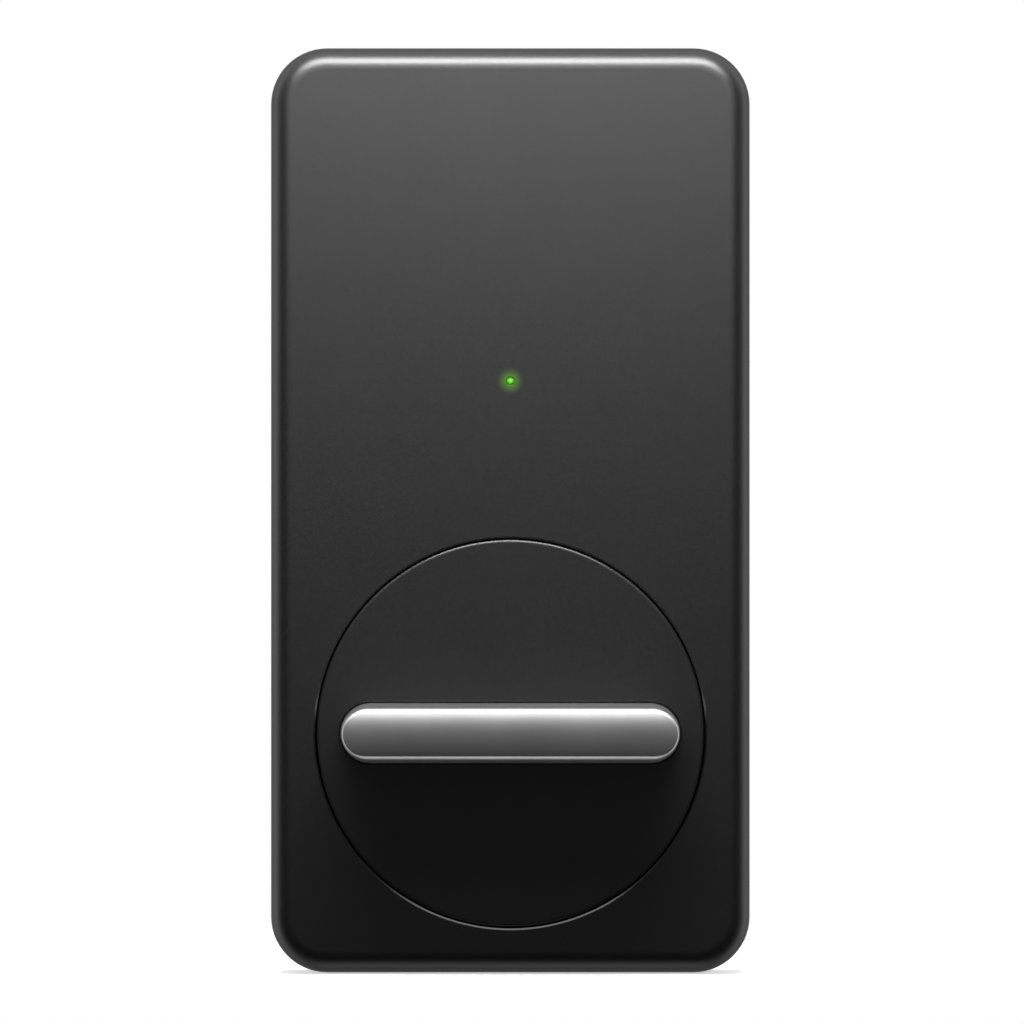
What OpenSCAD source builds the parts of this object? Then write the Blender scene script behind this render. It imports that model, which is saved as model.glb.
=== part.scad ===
// Thumb-turn smart lock: the indoor drive unit of a door lock. It sits over the
// thumb-turn on the inside of a door and turns it by hand or with a geared motor.
//
// Every part is drawn in the door frame: x to the right, y up the door and z out
// of the door into the room. The turn axis is at x = y = 0, the door at z = 0.
// on_door() then stands that frame upright, so the finished model has +Z up.

/* [Body] */
// Width of the body across the door
body_w = 58; // [58:0.5:60]
// Height of the body up the door
body_h = 112; // [112:0.5:115]
// Depth from the door to the front face
body_depth = 53; // [53:0.5:58]
// Height of the turn axis above the bottom edge
turn_height = 29; // [29:0.5:30]
// Radius of the body's four corners
corner_r = 6.8; // [5:0.2:7]
// Rounding round the front face
edge_r = 2.5; // [1.6:0.1:2.6]
// Thickness of the outer walls
wall = 2; // [1.8:0.1:2.2]

/* [Knob] */
// Diameter of the turning disc
disc_d = 46.96; // [46:0.02:47.4]
// Gap all round the disc
disc_gap = 0.2; // [0.18:0.01:0.4]
// Length of the finger bar where it meets the disc
bar_length = 41.1; // [38:0.1:42]
// Width of the finger bar where it meets the disc
bar_width = 7.3; // [6.6:0.1:8]
// How far the finger bar stands out of the disc
bar_depth = 20; // [14:0.5:24]

/* [Door side] */
// Thickness of the adhesive pad
pad_t = 0.8; // [0.6:0.1:1]
// Thickness of the mounting plate
plate_t = 2.6; // [2.4:0.1:3]
// Diameter of the well round the thumb-turn
well_d = 48; // [46:0.5:48.5]
// Length of the thumb-turn slot
slot_length = 30; // [26:0.5:31]
// Width of the thumb-turn slot between its rubber pads
slot_width = 5.9; // [5:0.1:6.4]

/* [Batteries] */
// Diameter of each lithium cell
cell_d = 17; // [16.5:0.1:17]
// Length of each lithium cell
cell_length = 34.5; // [34:0.1:35]

/* [Gears] */
// Tooth module of the two fast pairs
fine_module = 0.5; // [0.5]
// Tooth module of the last pair
coarse_module = 0.7; // [0.7]
// Direction from the turn axis to the second gear
second_dir = 65; // [64:0.5:66]
// Direction from the second gear to the first gear
first_dir = 115; // [114:0.5:116]
// Direction from the first gear to the motor
motor_dir = 112; // [110:0.5:113]

/* [Status light and button] */
// Height of the status light above the turn axis
light_height = 42.7; // [42.4:0.1:42.8]
// Diameter of the hole for the status light
light_hole_d = 1.14; // [1.1:0.02:1.6]
// Diameter of the setup button under the cover
button_d = 5; // [4:0.2:5]

/* [Hidden] */

$fn = 64;
// Overrun that keeps cutting shapes clear of the faces they cut
cut = 0.5;
// Clearance between parts that are pushed together by hand
loose = 0.3;
// Clearance of a shaft in its bearing, on the radius
running = 0.05;

// The body's outline about its own middle
mid_y = body_h / 2 - turn_height;
inner_w = body_w - 2 * wall;
inner_h = body_h - 2 * wall;
inner_r = corner_r - wall;

// Rounding round the back of the body
rear_edge_r = 1.2;

// Levels from the door to the room
plate_front = pad_t + plate_t;
rear_wall_t = 2;
rear_wall_front = plate_front + rear_wall_t;
cover_depth = 6.8;
seam = 0.2;
cover_back = body_depth - cover_depth;
cover_front_t = 1.8;
chassis_front = cover_back - seam;
chassis_t = 1.8;
chassis_back = chassis_front - chassis_t;
board_gap = 1.8;
board_t = 1.2;
board_front = chassis_back - board_gap;
board_back = board_front - board_t;
base_back = 22;
base_t = 2;
base_front = base_back + base_t;
gear_cover_back = 38.4;
gear_cover_t = 1.5;
gear_cover_front = gear_cover_back + gear_cover_t;

// Knob
disc_r = disc_d / 2;
disc_t = 3.6;
disc_back = body_depth - disc_t;
disc_chamfer = 0.25;
bar_draft = 0.55;
// Share of the draft that the bar's two ends have
bar_end_share = 0.35;
BAR_SCREWS = [[-14, 0], [14, 0]];
bar_screw_r = 1.25;
bar_screw_head_r = 2;
bar_screw_seat = disc_back + 1.5;
bar_screw_length = 8;
seal_r = 22.5;
seal_w = 2;

// Turn spindle
spindle_r = 5;
spindle_back = 19;
flange_r = 10.5;
flange_t = 1.5;
flange_back = disc_back - flange_t;
FLANGE_SCREWS = [for (a = [30, 150, 270]) step(a, 8)];
flange_screw_length = 3.6;
bush_r = 7;
bush_rim_r = 8.5;
bush_rim_t = 1;
clip_z = 21.2;
clip_t = 0.6;
clip_groove_r = 4.5;

// Turn adaptor
adaptor_r = 17;
adaptor_back = 5;
adaptor_front = 20.5;
slot_front = 17.5;
adaptor_pad_t = 0.8;
adaptor_screw_length = 8;
well_wall = 1.6;
well_r = well_d / 2;

// Mounting plate, above the well, and the pad behind it
plate_y = 54.5;
plate_w = 50;
plate_h = 49;
plate_r = 4;
pad_margin = 1;
plate_screw_r = 1.25;
plate_screw_head_r = 2.8;
plate_screw_head_t = 1.5;
plate_screw_length = 9;
plate_boss_front = 12;
WINDOWS = [[0, 48], [0, 61]];
window_w = 22;
window_h = 8;
window_r = 2;

// Battery bay, cut through the chassis
bay_end_wall = 1.2;
bay_side_wall = 0.8;
bay_floor_t = 1.5;
cell_r = cell_d / 2;
cell_play = 0.2;
cell_rise = 2;
cell_z = chassis_front + cell_rise - cell_r;
bay_floor = cell_z - cell_r;
bay_w = cell_length + 5.5;
bay_top = mid_y + inner_h / 2 - loose - bay_side_wall;
upper_cell_y = bay_top - cell_play - cell_r;
lower_cell_y = upper_cell_y - cell_d - cell_play;
bay_bottom = lower_cell_y - cell_r - cell_play;
contact_t = 0.4;
contact_w = 12;
contact_reach = bay_w / 2 - cell_length / 2;
cap_r = 3.2;
cap_t = 0.6;

// Screws
screw_r = 1;
screw_head_r = 1.9;
screw_head_t = 1.4;
small_head_r = 1.8;
small_head_t = 1.1;
corner_inset = 4.9;
corner_x = body_w / 2 - corner_inset;
corner_low = -turn_height + corner_inset;
corner_high = body_h - turn_height - corner_inset;
CORNERS = [for (x = [-corner_x, corner_x]) for (y = [corner_low, corner_high]) [x, y]];
PLATE_SCREWS = [for (x = [-19, 19]) for (y = [42, 74]) [x, y]];
GEARBOX_POSTS = [[-18.6, -18.6], [18.6, -18.6], [-22, 33], [22, 33]];
BOARD_POSTS = [[-22.5, 15], [22.5, 15], [-22.5, 40], [22.5, 40]];
boss_r = 2.8;
chassis_screw_length = 12;
board_screw_length = 3.6;
gearbox_screw_bite = 7;

// Gear train: teeth, then the axes worked out from the centre distances
output_teeth = 56;
second_small_teeth = 14;
second_large_teeth = 42;
first_small_teeth = 14;
first_large_teeth = 36;
pinion_teeth = 12;
pressure_angle = 25;
tooth_rise = 0.9;
tooth_fall = 1.2;
tooth_slack = 0.04;
axle_r = 1;
hub_r = 1.9;
function step(dir, distance) = distance * [cos(dir), sin(dir)];
function centre_distance(teeth_a, teeth_b, size) = (teeth_a + teeth_b) * size / 2;
second_axis = step(second_dir, centre_distance(output_teeth, second_small_teeth, coarse_module));
first_axis = second_axis
    + step(first_dir, centre_distance(second_large_teeth, first_small_teeth, fine_module));
motor_axis = first_axis
    + step(motor_dir, centre_distance(first_large_teeth, pinion_teeth, fine_module));
first_wheel_back = 25;
first_wheel_t = 3;
second_wheel_back = 28.5;
second_wheel_t = 3.5;
output_back = 33;
output_t = 5;
hub_back = base_front + 0.2;
hub_front = gear_cover_back - 0.2;
axle_back = base_back + 0.4;
axle_front = gear_cover_front - 0.3;

// Outline of the gearbox plates: a disc round the turn axis, a neck up to the
// motor, and arms out to the upper posts
gearbox_disc_r = 25.8;
gearbox_neck_w = 32;
gearbox_arm_w = 44;
gearbox_arm_low = 29;
gearbox_arm_h = 8;
gearbox_foot_r = 4;
gearbox_post_r = 2.2;
base_top = 59;
gear_cover_top = 43.9;

// Motor
motor_r = 12;
motor_back = 8;
motor_shaft_r = 1;
motor_pilot_r = 3;
pinion_front = 28.4;
MOTOR_SCREWS = [[-8.5, 0], [8.5, 0]];
motor_screw_bite = 3.5;
motor_cap_r = 4;
motor_cap_t = 1.2;

// Magnets that hold the cover to the heads of the chassis screws
magnet_r = 2.2;
magnet_t = 2;
magnet_back = chassis_front + screw_head_t + 0.2;
magnet_boss_r = 2.9;
magnet_room_r = 4.6;

// Setup button
button_at = [15, 36];
button_rise = 0.8;
button_rim_r = 3.2;
button_rim_t = 0.5;
button_clearance = 0.2;
button_top = chassis_front + button_rise;
button_rim_front = chassis_back - 0.05;

// Light pipe
pipe_r = 0.5;

// ---------------------------------------------------------------- helpers

// Stands the door frame upright: y becomes up and z comes out towards the room
module on_door() {
    rotate([90, 0, 0]) children();
}

// Places its children at each point of a list
module at_each(points) {
    for (p = points) translate(p) children();
}

// Points of a quarter circle
function corner_arc(centre, r, start, steps) =
    [for (i = [0:steps]) let (a = start + i * 90 / steps) centre + r * [cos(a), sin(a)]];

// Outline of a rectangle with rounded corners, centred on the origin
function rounded_points(w, h, r, steps = 8) =
    let (x = w / 2 - r, y = h / 2 - r)
    concat(
        corner_arc([x, y], r, 0, steps),
        corner_arc([-x, y], r, 90, steps),
        corner_arc([-x, -y], r, 180, steps),
        corner_arc([x, -y], r, 270, steps)
    );

// Flat plate with rounded corners between two levels
module rounded_plate(w, h, r, z0, z1, steps = 8) {
    translate([0, 0, z0])
        linear_extrude(z1 - z0) polygon(rounded_points(w, h, r, steps));
}

// Body outline between two levels, with one end's edge rounded: the level
// edge_z is the flat end, and sign says which way that end faces
module soft_body(z_open, edge_z, r, sign) {
    slice = 0.01;
    hull() {
        rounded_plate(body_w, body_h, corner_r, min(z_open, edge_z - sign * r),
            max(z_open, edge_z - sign * r));
        for (a = [15:15:90]) {
            inset = r * (1 - cos(a));
            z = edge_z - sign * r * (1 - sin(a));
            rounded_plate(body_w - 2 * inset, body_h - 2 * inset, corner_r - inset,
                min(z, z - sign * slice), max(z, z - sign * slice));
        }
    }
}

// Round bar between two levels
module rod(r, z0, z1) {
    translate([0, 0, z0]) cylinder(r = r, h = z1 - z0);
}

// Pan-head screw: the head's seat is at z = 0 and the shank points down
module pan_screw(length, r = screw_r, head_r = screw_head_r, head_t = screw_head_t) {
    difference() {
        union() {
            rod(head_r, 0, head_t);
            rod(r, -length, cut);
        }
        translate([0, 0, head_t * 0.4]) cylinder(r = head_r * 0.5, h = head_t, $fn = 6);
    }
}

// Countersunk screw: the head's flat top is at z = 0 and the shank points down
module flat_screw(length, r = screw_r, head_r = 2, head_t = 1) {
    difference() {
        union() {
            translate([0, 0, -head_t]) cylinder(r1 = r, r2 = head_r, h = head_t);
            rod(r, -length, -head_t / 2);
        }
        translate([0, 0, -head_t * 0.6]) cylinder(r = head_r * 0.4, h = head_t, $fn = 6);
    }
}

// Countersunk hole that such a screw drops into from above z = 0
module flat_screw_hole(depth, r = screw_r, head_r = 2, head_t = 1) {
    translate([0, 0, -head_t]) cylinder(r1 = r, r2 = head_r, h = head_t);
    rod(head_r, 0, cut);
    rod(r + running, -depth, -head_t / 2);
}

// Angle, in degrees, between a point of an involute and where the involute starts
function involute(r, base_r) =
    let (t = sqrt(max(0, pow(r / base_r, 2) - 1))) t * 180 / PI - atan(t);

// Half of a tooth's angle at radius r, thinned a little for backlash
function tooth_half_angle(r, teeth, pitch_r) =
    let (base_r = pitch_r * cos(pressure_angle))
    90 / teeth + involute(pitch_r, base_r) - involute(max(r, base_r), base_r)
    - tooth_slack / pitch_r * 180 / PI;

// Outline of a spur gear with a tooth centred on the +x axis
function gear_points(teeth, size) =
    let (
        pitch_r = teeth * size / 2,
        root_r = pitch_r - tooth_fall * size,
        low_r = max(root_r + 0.01, pitch_r * cos(pressure_angle)),
        tip_r = pitch_r + tooth_rise * size,
        radii = concat([root_r], [for (i = [0:3]) low_r + (tip_r - low_r) * i / 3])
    )
    [for (k = [0:teeth - 1]) each concat(
        [for (r = radii)
            let (a = k * 360 / teeth - tooth_half_angle(r, teeth, pitch_r)) r * [cos(a), sin(a)]],
        [for (i = [len(radii) - 1:-1:0])
            let (r = radii[i], a = k * 360 / teeth + tooth_half_angle(r, teeth, pitch_r))
            r * [cos(a), sin(a)]]
    )];

// Spur gear between two levels, turned so that one tooth points along tooth_dir
module spur_gear(teeth, size, tooth_dir, z0, z1) {
    translate([0, 0, z0]) rotate(tooth_dir)
        linear_extrude(z1 - z0) polygon(gear_points(teeth, size));
}

// Direction of a tooth that leaves a gap facing back along dir
function mating_dir(dir, teeth) = dir + 180 + 180 / teeth;

// Helical wire spring that narrows from r0 to r1 along +z
module wire_spring(r0, r1, wire_r, length, turns) {
    sides = 6;
    steps = turns * 10;
    rings = [for (i = [0:steps])
        let (
            a = 360 * turns * i / steps,
            r = r0 + (r1 - r0) * i / steps,
            z = wire_r + (length - 2 * wire_r) * i / steps
        )
        for (j = [0:sides - 1])
            let (b = 360 * j / sides, reach = r + wire_r * cos(b))
            [reach * cos(a), reach * sin(a), z + wire_r * sin(b)]];
    walls = [for (i = [0:steps - 1]) for (j = [0:sides - 1])
        let (k = (j + 1) % sides)
        [i * sides + j, i * sides + k, (i + 1) * sides + k, (i + 1) * sides + j]];
    first_cap = [[for (j = [sides - 1:-1:0]) j]];
    last_cap = [[for (j = [0:sides - 1]) steps * sides + j]];
    polyhedron(rings, concat(walls, first_cap, last_cap));
}

// ------------------------------------------------------------- door fixing

module adhesive_pad() {
    on_door() color("dimgray")
        translate([0, plate_y])
            rounded_plate(plate_w - 2 * pad_margin, plate_h - 2 * pad_margin, plate_r - pad_margin,
                0, pad_t);
}

module mount_plate() {
    on_door() color("silver") difference() {
        translate([0, plate_y]) rounded_plate(plate_w, plate_h, plate_r, pad_t, plate_front);
        at_each(PLATE_SCREWS) translate([0, 0, pad_t]) mirror([0, 0, 1])
            flat_screw_hole(plate_t + cut, plate_screw_r, plate_screw_head_r, plate_screw_head_t);
        // Lightening windows between the screws
        at_each(WINDOWS)
            rounded_plate(window_w, window_h, window_r, pad_t - cut, plate_front + cut);
    }
}

module plate_screws() {
    on_door() color("gainsboro")
        at_each(PLATE_SCREWS) translate([0, 0, pad_t]) mirror([0, 0, 1])
            flat_screw(plate_screw_length, plate_screw_r, plate_screw_head_r, plate_screw_head_t);
}

// ----------------------------------------------------------------- housing

module housing() {
    on_door() color("#1d1d1f") difference() {
        union() {
            difference() {
                translate([0, mid_y]) soft_body(chassis_front, pad_t, rear_edge_r, -1);
                // Inside of the shell, then the shallow recess behind it
                translate([0, mid_y])
                    rounded_plate(inner_w, inner_h, inner_r, rear_wall_front, chassis_front + cut);
                translate([0, mid_y])
                    rounded_plate(inner_w, inner_h, inner_r, -cut, plate_front);
            }
            rod(well_r + well_wall, pad_t, base_back);
            at_each(CORNERS) rod(boss_r, plate_front, chassis_back);
            at_each(PLATE_SCREWS) rod(boss_r, plate_front, plate_boss_front);
            at_each(GEARBOX_POSTS) rod(boss_r, plate_front, base_back);
        }
        rod(well_r, -cut, base_back + cut);
        at_each(CORNERS)
            rod(screw_r + running, chassis_back - chassis_screw_length, chassis_back + cut);
        at_each(PLATE_SCREWS)
            rod(plate_screw_r + running, plate_front - cut, pad_t + plate_screw_length + cut);
        at_each(GEARBOX_POSTS)
            rod(screw_r + running, base_back - gearbox_screw_bite - 1, base_back + cut);
    }
}

// --------------------------------------------------------- turning members

module turn_adaptor() {
    wide = slot_width + 2 * adaptor_pad_t;
    on_door() color("#2b2b2d") difference() {
        rod(adaptor_r, adaptor_back, adaptor_front);
        translate([-slot_length / 2, -wide / 2, adaptor_back - cut])
            cube([slot_length, wide, slot_front - adaptor_back + cut]);
        rod(spindle_r + running, spindle_back, adaptor_front + cut);
        rod(screw_r + running, slot_front - cut, adaptor_front);
    }
}

module adaptor_pads() {
    on_door() color("#101010")
        for (side = [-1, 1])
            translate([-slot_length / 2 + 1, side * (slot_width + adaptor_pad_t) / 2 - adaptor_pad_t / 2,
                adaptor_back])
                cube([slot_length - 2, adaptor_pad_t, slot_front - adaptor_back - 2]);
}

module adaptor_screw() {
    on_door() color("silver")
        translate([0, 0, slot_front]) mirror([0, 0, 1]) pan_screw(adaptor_screw_length);
}

module spindle() {
    on_door() color("silver") difference() {
        union() {
            rod(spindle_r, spindle_back, flange_back + cut);
            rod(flange_r, flange_back, disc_back);
        }
        difference() {
            rod(spindle_r + cut, clip_z, clip_z + clip_t);
            rod(clip_groove_r, clip_z - cut, clip_z + clip_t + cut);
        }
        rod(screw_r + running, spindle_back - cut, spindle_back + adaptor_screw_length);
        at_each(FLANGE_SCREWS) rod(screw_r + running, flange_back - cut, disc_back + cut);
    }
}

module spindle_screws() {
    on_door() color("gainsboro")
        at_each(FLANGE_SCREWS) translate([0, 0, flange_back]) mirror([0, 0, 1])
            pan_screw(flange_screw_length, screw_r, small_head_r, small_head_t);
}

module spindle_clip() {
    on_door() color("gray")
        translate([0, 0, clip_z]) rotate(30) rotate_extrude(angle = 300)
            translate([clip_groove_r, 0]) square([2, clip_t - 0.1]);
}

module output_gear() {
    on_door() color("#d8d4c8") difference() {
        spur_gear(output_teeth, coarse_module, second_dir, output_back, output_back + output_t);
        rod(spindle_r, output_back - cut, output_back + output_t + cut);
        for (a = [0:60:300]) rotate(a) translate([11.5, 0])
            rod(3.6, output_back - cut, output_back + output_t + cut);
    }
}

module knob_disc() {
    on_door() color("#19191b") difference() {
        union() {
            rod(disc_r, disc_back, body_depth - disc_chamfer);
            translate([0, 0, body_depth - disc_chamfer])
                cylinder(r1 = disc_r, r2 = disc_r - disc_chamfer, h = disc_chamfer);
        }
        at_each(FLANGE_SCREWS)
            rod(screw_r + running, disc_back - cut, flange_back + flange_screw_length + loose);
        at_each(BAR_SCREWS) {
            rod(bar_screw_head_r + 0.1, disc_back - cut, bar_screw_seat);
            rod(bar_screw_r + running, disc_back, body_depth + cut);
        }
    }
}

// The finger bar tapers a little and its front is crowned
module knob_bar() {
    levels = [
        [0, 0], [bar_depth - 1.2, bar_draft], [bar_depth - 0.6, bar_draft + 0.15],
        [bar_depth - 0.25, bar_draft + 0.5], [bar_depth - 0.01, bar_draft + 1.3]
    ];
    on_door() color("#b9babc") difference() {
        hull() for (level = levels) {
            z = body_depth + level[0];
            inset = level[1];
            rounded_plate(bar_length - 2 * inset * bar_end_share, bar_width - 2 * inset,
                bar_width / 2 - inset - 0.01, z, z + 0.01, 12);
        }
        at_each(BAR_SCREWS)
            rod(bar_screw_r + running, body_depth - cut, bar_screw_seat + bar_screw_length + 1);
    }
}

module knob_bar_screws() {
    on_door() color("gainsboro")
        at_each(BAR_SCREWS) translate([0, 0, bar_screw_seat]) mirror([0, 0, 1])
            pan_screw(bar_screw_length, bar_screw_r, bar_screw_head_r, bar_screw_seat - disc_back - 0.2);
}

module dust_seal() {
    on_door() color("#303030") difference() {
        rod(seal_r, chassis_front, disc_back - loose);
        rod(seal_r - seal_w, chassis_front - cut, disc_back);
    }
}

// ----------------------------------------------------------------- gearbox

// Bush with a rim at one end: rim_z is the level of the rim's outer face
module flanged_bush(z_plain, z_rim, sign) {
    difference() {
        union() {
            rod(bush_r, min(z_plain, z_rim), max(z_plain, z_rim));
            rod(bush_rim_r, min(z_rim, z_rim - sign * bush_rim_t), max(z_rim, z_rim - sign * bush_rim_t));
        }
        rod(spindle_r + running, min(z_plain, z_rim) - cut, max(z_plain, z_rim) + cut);
    }
}

module rear_bush() {
    on_door() color("#b08d57") flanged_bush(base_back, base_front + bush_rim_t, 1);
}

module front_bush() {
    on_door() color("#b08d57") flanged_bush(chassis_front, chassis_back - bush_rim_t, -1);
}

// Outline shared by both gearbox plates, up to the height top_y
module gearbox_plate(z0, z1, top_y) {
    rod(gearbox_disc_r, z0, z1);
    translate([-gearbox_neck_w / 2, 0, z0]) cube([gearbox_neck_w, top_y, z1 - z0]);
    translate([-gearbox_arm_w / 2, gearbox_arm_low, z0]) cube([gearbox_arm_w, gearbox_arm_h, z1 - z0]);
    at_each(GEARBOX_POSTS) rod(gearbox_foot_r, z0, z1);
}

module gearbox_base() {
    on_door() color("#3a3d40") difference() {
        union() {
            gearbox_plate(base_back, base_front, base_top);
            at_each(GEARBOX_POSTS) rod(gearbox_post_r, base_back, gear_cover_back);
        }
        rod(bush_r, base_back - cut, base_front + cut);
        at_each(GEARBOX_POSTS) rod(screw_r + running, base_back - cut, gear_cover_back + cut);
        at_each([first_axis, second_axis]) rod(axle_r, axle_back, base_front + cut);
        translate(motor_axis) {
            rod(motor_pilot_r + 0.1, base_back - cut, base_front + cut);
            at_each(MOTOR_SCREWS) translate([0, 0, base_front]) flat_screw_hole(base_t + cut);
        }
    }
}

module gearbox_cover() {
    on_door() color("#3a3d40") difference() {
        gearbox_plate(gear_cover_back, gear_cover_front, gear_cover_top);
        rod(spindle_r + loose, gear_cover_back - cut, gear_cover_front + cut);
        at_each([first_axis, second_axis])
            rod(axle_r, gear_cover_back - cut, axle_front);
        at_each(GEARBOX_POSTS) translate([0, 0, gear_cover_front])
            flat_screw_hole(gear_cover_t + cut);
    }
}

module gearbox_screws() {
    on_door() color("gainsboro")
        at_each(GEARBOX_POSTS) translate([0, 0, gear_cover_front])
            flat_screw(gear_cover_front - base_back + gearbox_screw_bite);
}

module gear_axles() {
    on_door() color("silver")
        at_each([first_axis, second_axis]) rod(axle_r, axle_back, axle_front);
}

// Two gears of different size on one hub, free to turn on an axle
module gear_pair(axis, wheel_teeth, wheel_dir, wheel_back, wheel_t,
    small_teeth, small_size, small_dir, small_back, small_front) {
    translate(axis) difference() {
        union() {
            spur_gear(wheel_teeth, fine_module, wheel_dir, wheel_back, wheel_back + wheel_t);
            spur_gear(small_teeth, small_size, small_dir, small_back, small_front);
            rod(hub_r, hub_back, hub_front);
        }
        rod(axle_r + running, hub_back - cut, hub_front + cut);
    }
}

module second_gear() {
    on_door() color("#d8d4c8")
        gear_pair(second_axis, second_large_teeth, first_dir, second_wheel_back, second_wheel_t,
            second_small_teeth, coarse_module, mating_dir(second_dir, second_small_teeth),
            second_wheel_back + second_wheel_t, hub_front);
}

module first_gear() {
    on_door() color("#d8d4c8")
        gear_pair(first_axis, first_large_teeth, motor_dir, first_wheel_back, first_wheel_t,
            first_small_teeth, fine_module, mating_dir(first_dir, first_small_teeth),
            first_wheel_back + first_wheel_t, second_wheel_back + second_wheel_t);
}

// ------------------------------------------------------------------- motor

module motor() {
    on_door() color("#8d9092") translate(motor_axis) difference() {
        union() {
            rod(motor_r, motor_back, base_back);
            rod(motor_pilot_r, base_back - cut, base_front - cut);
            rod(motor_cap_r, motor_back - motor_cap_t, motor_back + cut);
        }
        rod(motor_shaft_r + running, motor_back, base_front);
        at_each(MOTOR_SCREWS)
            rod(screw_r + running, base_back - motor_screw_bite - cut, base_back + cut);
    }
}

module motor_shaft() {
    on_door() color("silver") translate(motor_axis)
        rod(motor_shaft_r, motor_back + loose, pinion_front);
}

module motor_pinion() {
    on_door() color("#b08d57") translate(motor_axis) difference() {
        spur_gear(pinion_teeth, fine_module, mating_dir(motor_dir, pinion_teeth),
            first_wheel_back, pinion_front);
        rod(motor_shaft_r, first_wheel_back - cut, pinion_front + cut);
    }
}

module motor_screws() {
    on_door() color("gainsboro") translate(motor_axis)
        at_each(MOTOR_SCREWS) translate([0, 0, base_front]) flat_screw(base_t + motor_screw_bite);
}

// Two leads rise from the side of the motor to the back of the board
module motor_leads() {
    lead_r = 0.6;
    lead_x = -17.5;
    lead_back = 14;
    on_door() color("firebrick") difference() {
        for (y = [39.4, 42]) translate([lead_x, y]) {
            rod(lead_r, lead_back, board_back);
            translate([0, 0, lead_back + lead_r]) rotate([0, 90, 0])
                cylinder(r = lead_r * 0.9, h = motor_axis.x - lead_x);
        }
        translate(motor_axis) rod(motor_r, motor_back, base_back);
    }
}

// -------------------------------------------------- chassis and electronics

module chassis() {
    fit_w = inner_w - 2 * loose;
    fit_h = inner_h - 2 * loose;
    fit_r = inner_r - loose;
    lip_t = 1.4;
    lip_front = chassis_front + 2.5;
    post_r = 2.2;
    bay_h = bay_top - bay_bottom;
    bay_y = (bay_top + bay_bottom) / 2;
    on_door() color("#26272a") difference() {
        union() {
            translate([0, mid_y]) rounded_plate(fit_w, fit_h, fit_r, chassis_back, chassis_front);
            // Lip that locates the cover
            translate([0, mid_y]) difference() {
                rounded_plate(fit_w, fit_h, fit_r, chassis_back, lip_front);
                rounded_plate(fit_w - 2 * lip_t, fit_h - 2 * lip_t, fit_r - lip_t,
                    chassis_back - cut, lip_front + cut);
            }
            translate([-bay_w / 2 - bay_end_wall, bay_bottom - bay_side_wall, bay_floor - bay_floor_t])
                cube([bay_w + 2 * bay_end_wall, bay_h + 2 * bay_side_wall,
                    chassis_front - bay_floor + bay_floor_t]);
            at_each(BOARD_POSTS) rod(post_r, board_front, chassis_back + cut);
        }
        translate([-bay_w / 2, bay_bottom, bay_floor])
            cube([bay_w, bay_h, chassis_front - bay_floor + 5]);
        // Room round the screw heads and the cover's magnets
        at_each(CORNERS) rod(magnet_room_r, chassis_front, lip_front + cut);
        at_each(CORNERS) rod(screw_r + running, chassis_back - cut, chassis_front + cut);
        at_each(BOARD_POSTS) rod(screw_r + running, board_front - cut, chassis_front - 0.6);
        rod(bush_r, chassis_back - cut, chassis_front + cut);
        translate([0, light_height]) rod(pipe_r, chassis_back - cut, chassis_front + cut);
        translate(button_at) rod(button_d / 2 + button_clearance, chassis_back - cut, chassis_front + cut);
    }
}

module chassis_screws() {
    on_door() color("gainsboro")
        at_each(CORNERS) translate([0, 0, chassis_front]) pan_screw(chassis_screw_length);
}

module circuit_board() {
    board_w = 50;
    board_low = -21;
    board_high = 44.1;
    on_door() color("#1f5a3a") difference() {
        translate([-board_w / 2, board_low, board_back])
            cube([board_w, board_high - board_low, board_t]);
        rod(spindle_r + 2, board_back - cut, board_front + cut);
        at_each(BOARD_POSTS) rod(screw_r + running, board_back - cut, board_front + cut);
    }
}

module board_screws() {
    on_door() color("gainsboro")
        at_each(BOARD_POSTS) translate([0, 0, board_back]) mirror([0, 0, 1])
            pan_screw(board_screw_length, screw_r, small_head_r, small_head_t);
}

// Flat component soldered to the front of the board
module board_part(at, size) {
    translate([at.x - size.x / 2, at.y - size.y / 2, board_front]) cube(size);
}

module radio_module() {
    on_door() color("silver") board_part([-11, 31], [13, 16, 1.4]);
}

module control_chip() {
    on_door() color("#151515") board_part([4, 24], [7, 7, 0.9]);
}

module driver_chip() {
    on_door() color("#151515") board_part([15, 25], [5, 4, 1]);
}

module buzzer() {
    buzzer_r = 4.5;
    buzzer_h = 4.5;
    on_door() color("#202020") translate([-21, 22]) difference() {
        rod(buzzer_r, board_back - buzzer_h, board_back);
        rod(1, board_back - buzzer_h - cut, board_back - buzzer_h + cut);
    }
}

module status_led() {
    on_door() color("#e8f4e0") board_part([0, light_height], [1.6, 0.8, 0.8]);
}

module light_pipe() {
    on_door() color("#7dff4a") translate([0, light_height])
        rod(pipe_r, board_front + 1, body_depth - 0.1);
}

module setup_switch() {
    switch_w = 4.5;
    on_door() color("gray") board_part(button_at, [switch_w, switch_w, 0.7]);
}

module setup_button() {
    on_door() color("#e4e4e2") translate(button_at) {
        rod(button_d / 2, button_rim_front - button_rim_t, button_top);
        rod(button_rim_r, button_rim_front - button_rim_t, button_rim_front);
    }
}

// --------------------------------------------------------------- batteries

// Lithium cell lying along x; its raised contact points towards side
module cell(y, side) {
    translate([0, y, cell_z]) rotate([0, side * 90, 0]) {
        rod(cell_r, -cell_length / 2, cell_length / 2 - cap_t);
        rod(cap_r, cell_length / 2 - 2 * cap_t, cell_length / 2);
    }
}

module battery_upper() {
    on_door() color("#3f6f9f") cell(upper_cell_y, 1);
}

module battery_lower() {
    on_door() color("#3f6f9f") cell(lower_cell_y, -1);
}

// Puts a contact at the end of a cell, facing inwards along +z
module cell_contact(y, side) {
    translate([side * bay_w / 2, y, cell_z]) rotate([0, -side * 90, 0]) children();
}

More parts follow.
